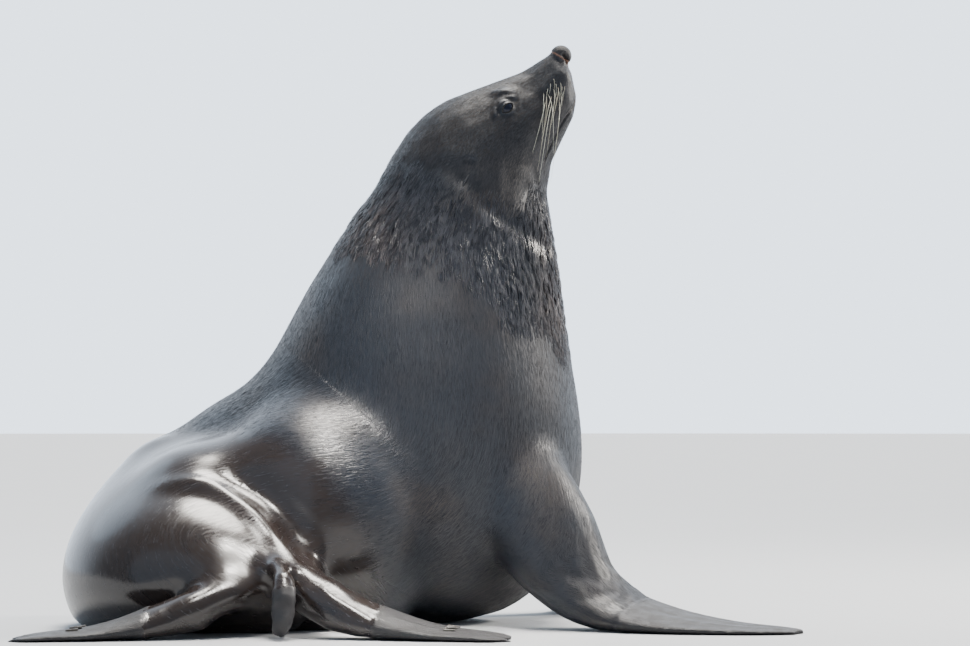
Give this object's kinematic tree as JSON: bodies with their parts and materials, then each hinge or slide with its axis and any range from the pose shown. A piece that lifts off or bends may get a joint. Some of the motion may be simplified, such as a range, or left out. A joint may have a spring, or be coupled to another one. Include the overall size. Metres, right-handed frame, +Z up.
{
  "type": "fur seal",
  "caption": "Life-size still model of a male fur seal, an eared seal like a sea lion, sitting up with its nose raised and its hind flippers out to its right.",
  "frame": {"origin": "bottom centre of the whole model's box, on the floor", "axes": "+X the way the chest faces, +Y to the animal's left, +Z up"},
  "size_m": [1.1046, 0.9548, 0.8632],
  "materials": {
    "wet_fur": "wet, glossy",
    "bare_skin": "satin",
    "eye_black": "wet, glossy",
    "claw_horn": "satin"
  },
  "bodies": {
    "root": {"abdomen": "wet_fur", "chest": "wet_fur", "ear_left": "wet_fur", "ear_right": "wet_fur", "eye_left": "eye_black", "eye_right": "eye_black", "fore_flipper_left": "bare_skin", "fore_flipper_right": "bare_skin", "fore_leg_left": "wet_fur", "fore_leg_right": "wet_fur", "haunches": "wet_fur", "head": "wet_fur", "hind_flipper_left": "bare_skin", "hind_flipper_left_claw_1": "claw_horn", "hind_flipper_left_claw_2": "claw_horn", "hind_flipper_left_claw_3": "claw_horn", "hind_flipper_right": "bare_skin", "hind_flipper_right_claw_1": "claw_horn", "hind_flipper_right_claw_2": "claw_horn", "hind_flipper_right_claw_3": "claw_horn", "hind_leg_left": "wet_fur", "hind_leg_right": "wet_fur", "neck": "wet_fur", "nose_pad": "bare_skin", "tail": "wet_fur"}
  },
  "joints": []
}
